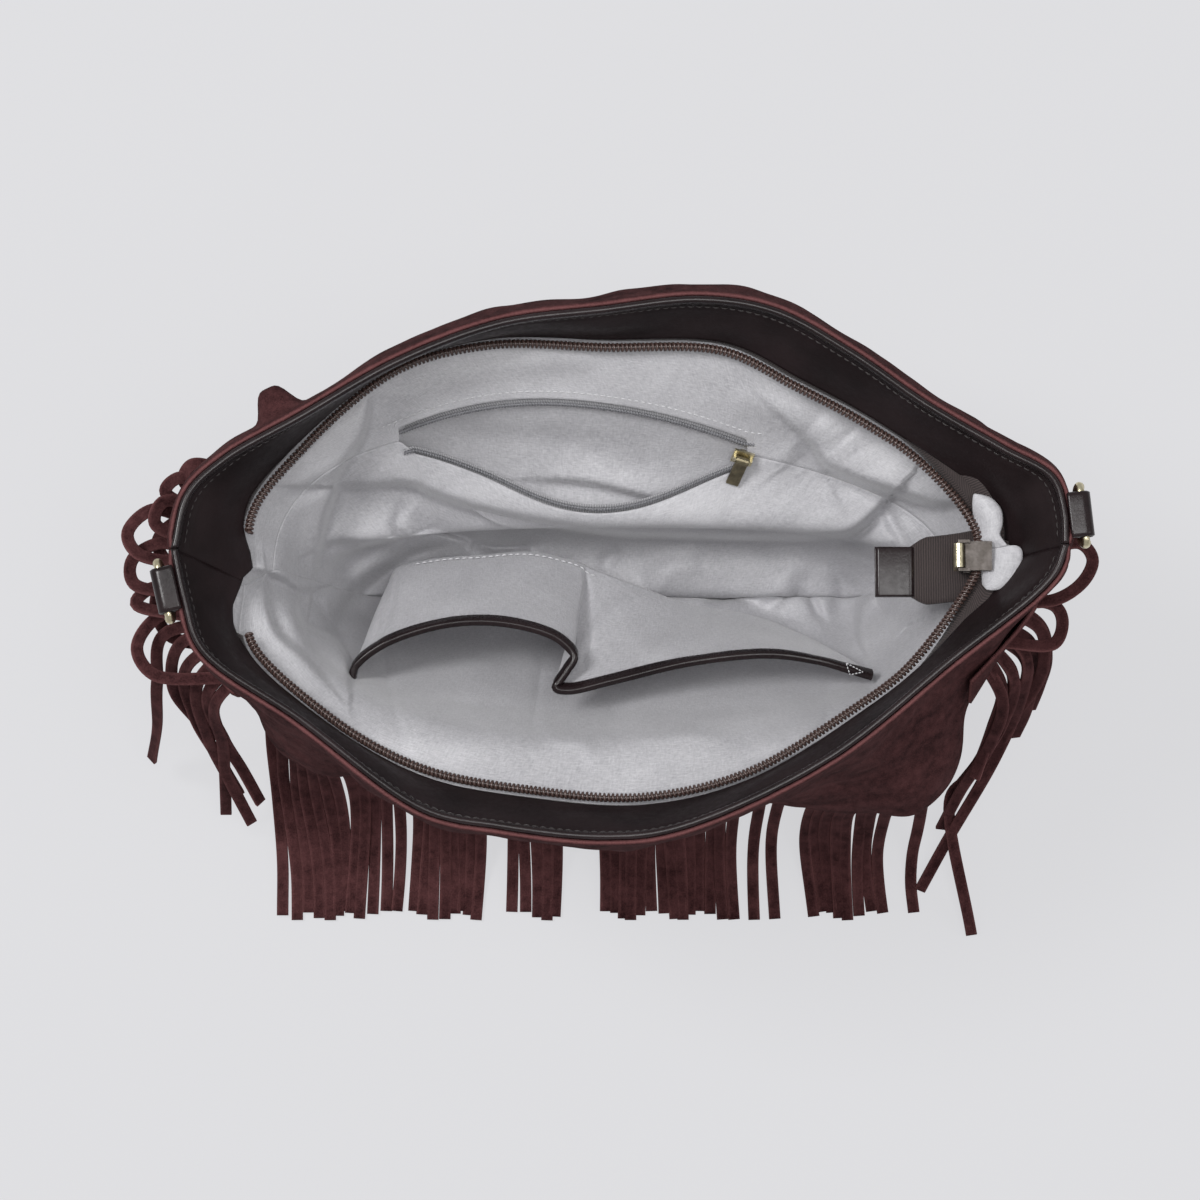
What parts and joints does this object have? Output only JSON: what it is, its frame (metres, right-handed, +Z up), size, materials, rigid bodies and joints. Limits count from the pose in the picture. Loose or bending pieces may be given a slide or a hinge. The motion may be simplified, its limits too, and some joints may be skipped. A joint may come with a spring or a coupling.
{
  "type": "shoulder bag",
  "caption": "Soft hobo bag of fringed suede with an open zip mouth, a satin lining with pockets, leather edges and D rings.",
  "frame": {"origin": "centre of the base, on the face that it stands on", "axes": "+Z up out of the mouth, +X along the mouth towards the zip's closed end, -Y towards the front with the fringe"},
  "size_m": [0.3832, 0.2428, 0.2447],
  "materials": {
    "suede": "napped burgundy suede, matt",
    "leather": "smooth near-black brown leather, semi-gloss",
    "satin": "grey satin weave, soft sheen",
    "tape": "dark brown woven tape, matt",
    "coil": "dark brown nylon coil",
    "pocket_tape": "light grey woven tape, matt",
    "pocket_coil": "grey nylon coil",
    "brass": "pale antique brass, satin",
    "steel": "bright plated metal",
    "board": "plain stiff board"
  },
  "bodies": {
    "bag": {"front_upper_panel": "suede", "front_lower_panel": "suede", "back_panel": "suede", "base_panel": "suede", "front_fringe": "suede", "lacing_left": "suede", "lacing_right": "suede", "facing_front": "leather", "facing_back": "leather", "edge_binding_front": "leather", "edge_binding_back": "leather", "zip_end_tab": "leather", "ring_tab_left": "leather", "ring_tab_right": "leather", "slip_pocket_binding": "leather", "lining_front": "satin", "lining_back": "satin", "zip_pocket_bag": "satin", "slip_pocket_panel": "satin", "zip_tape_front": "tape", "zip_tape_back": "tape", "zip_tail": "tape", "pocket_tape_upper": "pocket_tape", "pocket_tape_lower": "pocket_tape", "zip_coil_front": "coil", "zip_coil_back": "coil", "pocket_coil_upper": "pocket_coil", "pocket_coil_lower": "pocket_coil", "base_board": "board"},
    "zip_slider": {"zip_slider": "steel"},
    "zip_puller": {"zip_puller": "brass"},
    "pocket_zip_slider": {"pocket_zip_slider": "brass"},
    "pocket_pull_tab": {"pocket_pull_tab": "brass"},
    "ring_left": {"ring_left": "brass"},
    "ring_right": {"ring_right": "brass"}
  },
  "joints": [
    {"name": "zip_slide", "type": "slide", "parent": "bag", "child": "zip_slider", "axis": [-1, 0, 0], "range_m": [0, 0.008]},
    {"name": "zip_puller_turn", "type": "hinge", "parent": "zip_slider", "child": "zip_puller", "pos_m": [0.12624, 0.00686, 0.22113], "axis": [0, 1, 0], "range_deg": [0, 110]},
    {"name": "pocket_zip_slide", "type": "slide", "parent": "bag", "child": "pocket_zip_slider", "axis": [-0.9474, 0.2586, 0.1887], "range_m": [0, 0.005]},
    {"name": "pocket_pull_turn", "type": "hinge", "parent": "pocket_zip_slider", "child": "pocket_pull_tab", "pos_m": [0.04756, 0.04868, 0.17705], "axis": [-0.9474, 0.2586, 0.1887], "range_deg": [0, 90]},
    {"name": "ring_left_swing", "type": "hinge", "parent": "bag", "child": "ring_left", "pos_m": [-0.167, -0.00841, 0.24103], "axis": [-0.2249, 0.9744, 0], "range_deg": [0, 150]},
    {"name": "ring_right_swing", "type": "hinge", "parent": "bag", "child": "ring_right", "pos_m": [0.16976, 0.01964, 0.24128], "axis": [0.1024, -0.9947, 0], "range_deg": [0, 150]}
  ]
}
